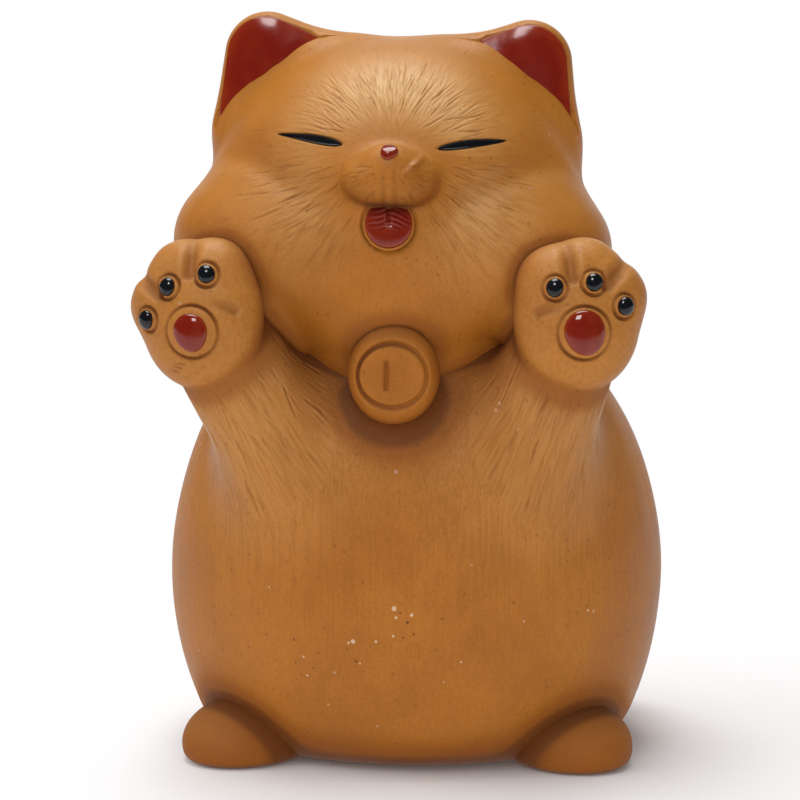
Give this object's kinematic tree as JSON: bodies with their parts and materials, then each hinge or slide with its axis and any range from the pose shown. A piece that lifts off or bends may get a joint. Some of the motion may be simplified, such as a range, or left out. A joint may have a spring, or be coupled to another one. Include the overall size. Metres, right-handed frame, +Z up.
{
  "type": "cat tea pet",
  "caption": "Hollow fired-clay figure of a plump sitting cat with raised paws, a bell at the throat and glaze drops; an ornament for a tea tray.",
  "frame": {"origin": "middle of the figure's footprint, on the surface that it stands on", "axes": "+Z up, the cat faces -Y, and its own left side is +X"},
  "size_m": [0.0704, 0.0599, 0.1009],
  "materials": {
    "clay": "unglazed burnished clay, satin",
    "red_glaze": "gloss",
    "black_glaze": "gloss"
  },
  "bodies": {
    "root": {"body_shell": "clay", "base_plate": "clay", "bell": "clay", "left_foot": "clay", "right_foot": "clay", "tail": "clay", "head_shell": "clay", "left_ear": "clay", "right_ear": "clay", "left_ear_glaze": "red_glaze", "right_ear_glaze": "red_glaze", "muzzle": "clay", "nose_glaze": "red_glaze", "tongue": "clay", "tongue_glaze": "red_glaze", "left_eye_glaze": "black_glaze", "right_eye_glaze": "black_glaze", "left_arm": "clay", "right_arm": "clay", "left_paw": "clay", "right_paw": "clay", "left_palm_glaze": "red_glaze", "right_palm_glaze": "red_glaze", "left_toe_glaze_1": "black_glaze", "left_toe_glaze_2": "black_glaze", "left_toe_glaze_3": "black_glaze", "right_toe_glaze_1": "black_glaze", "right_toe_glaze_2": "black_glaze", "right_toe_glaze_3": "black_glaze"}
  },
  "joints": []
}
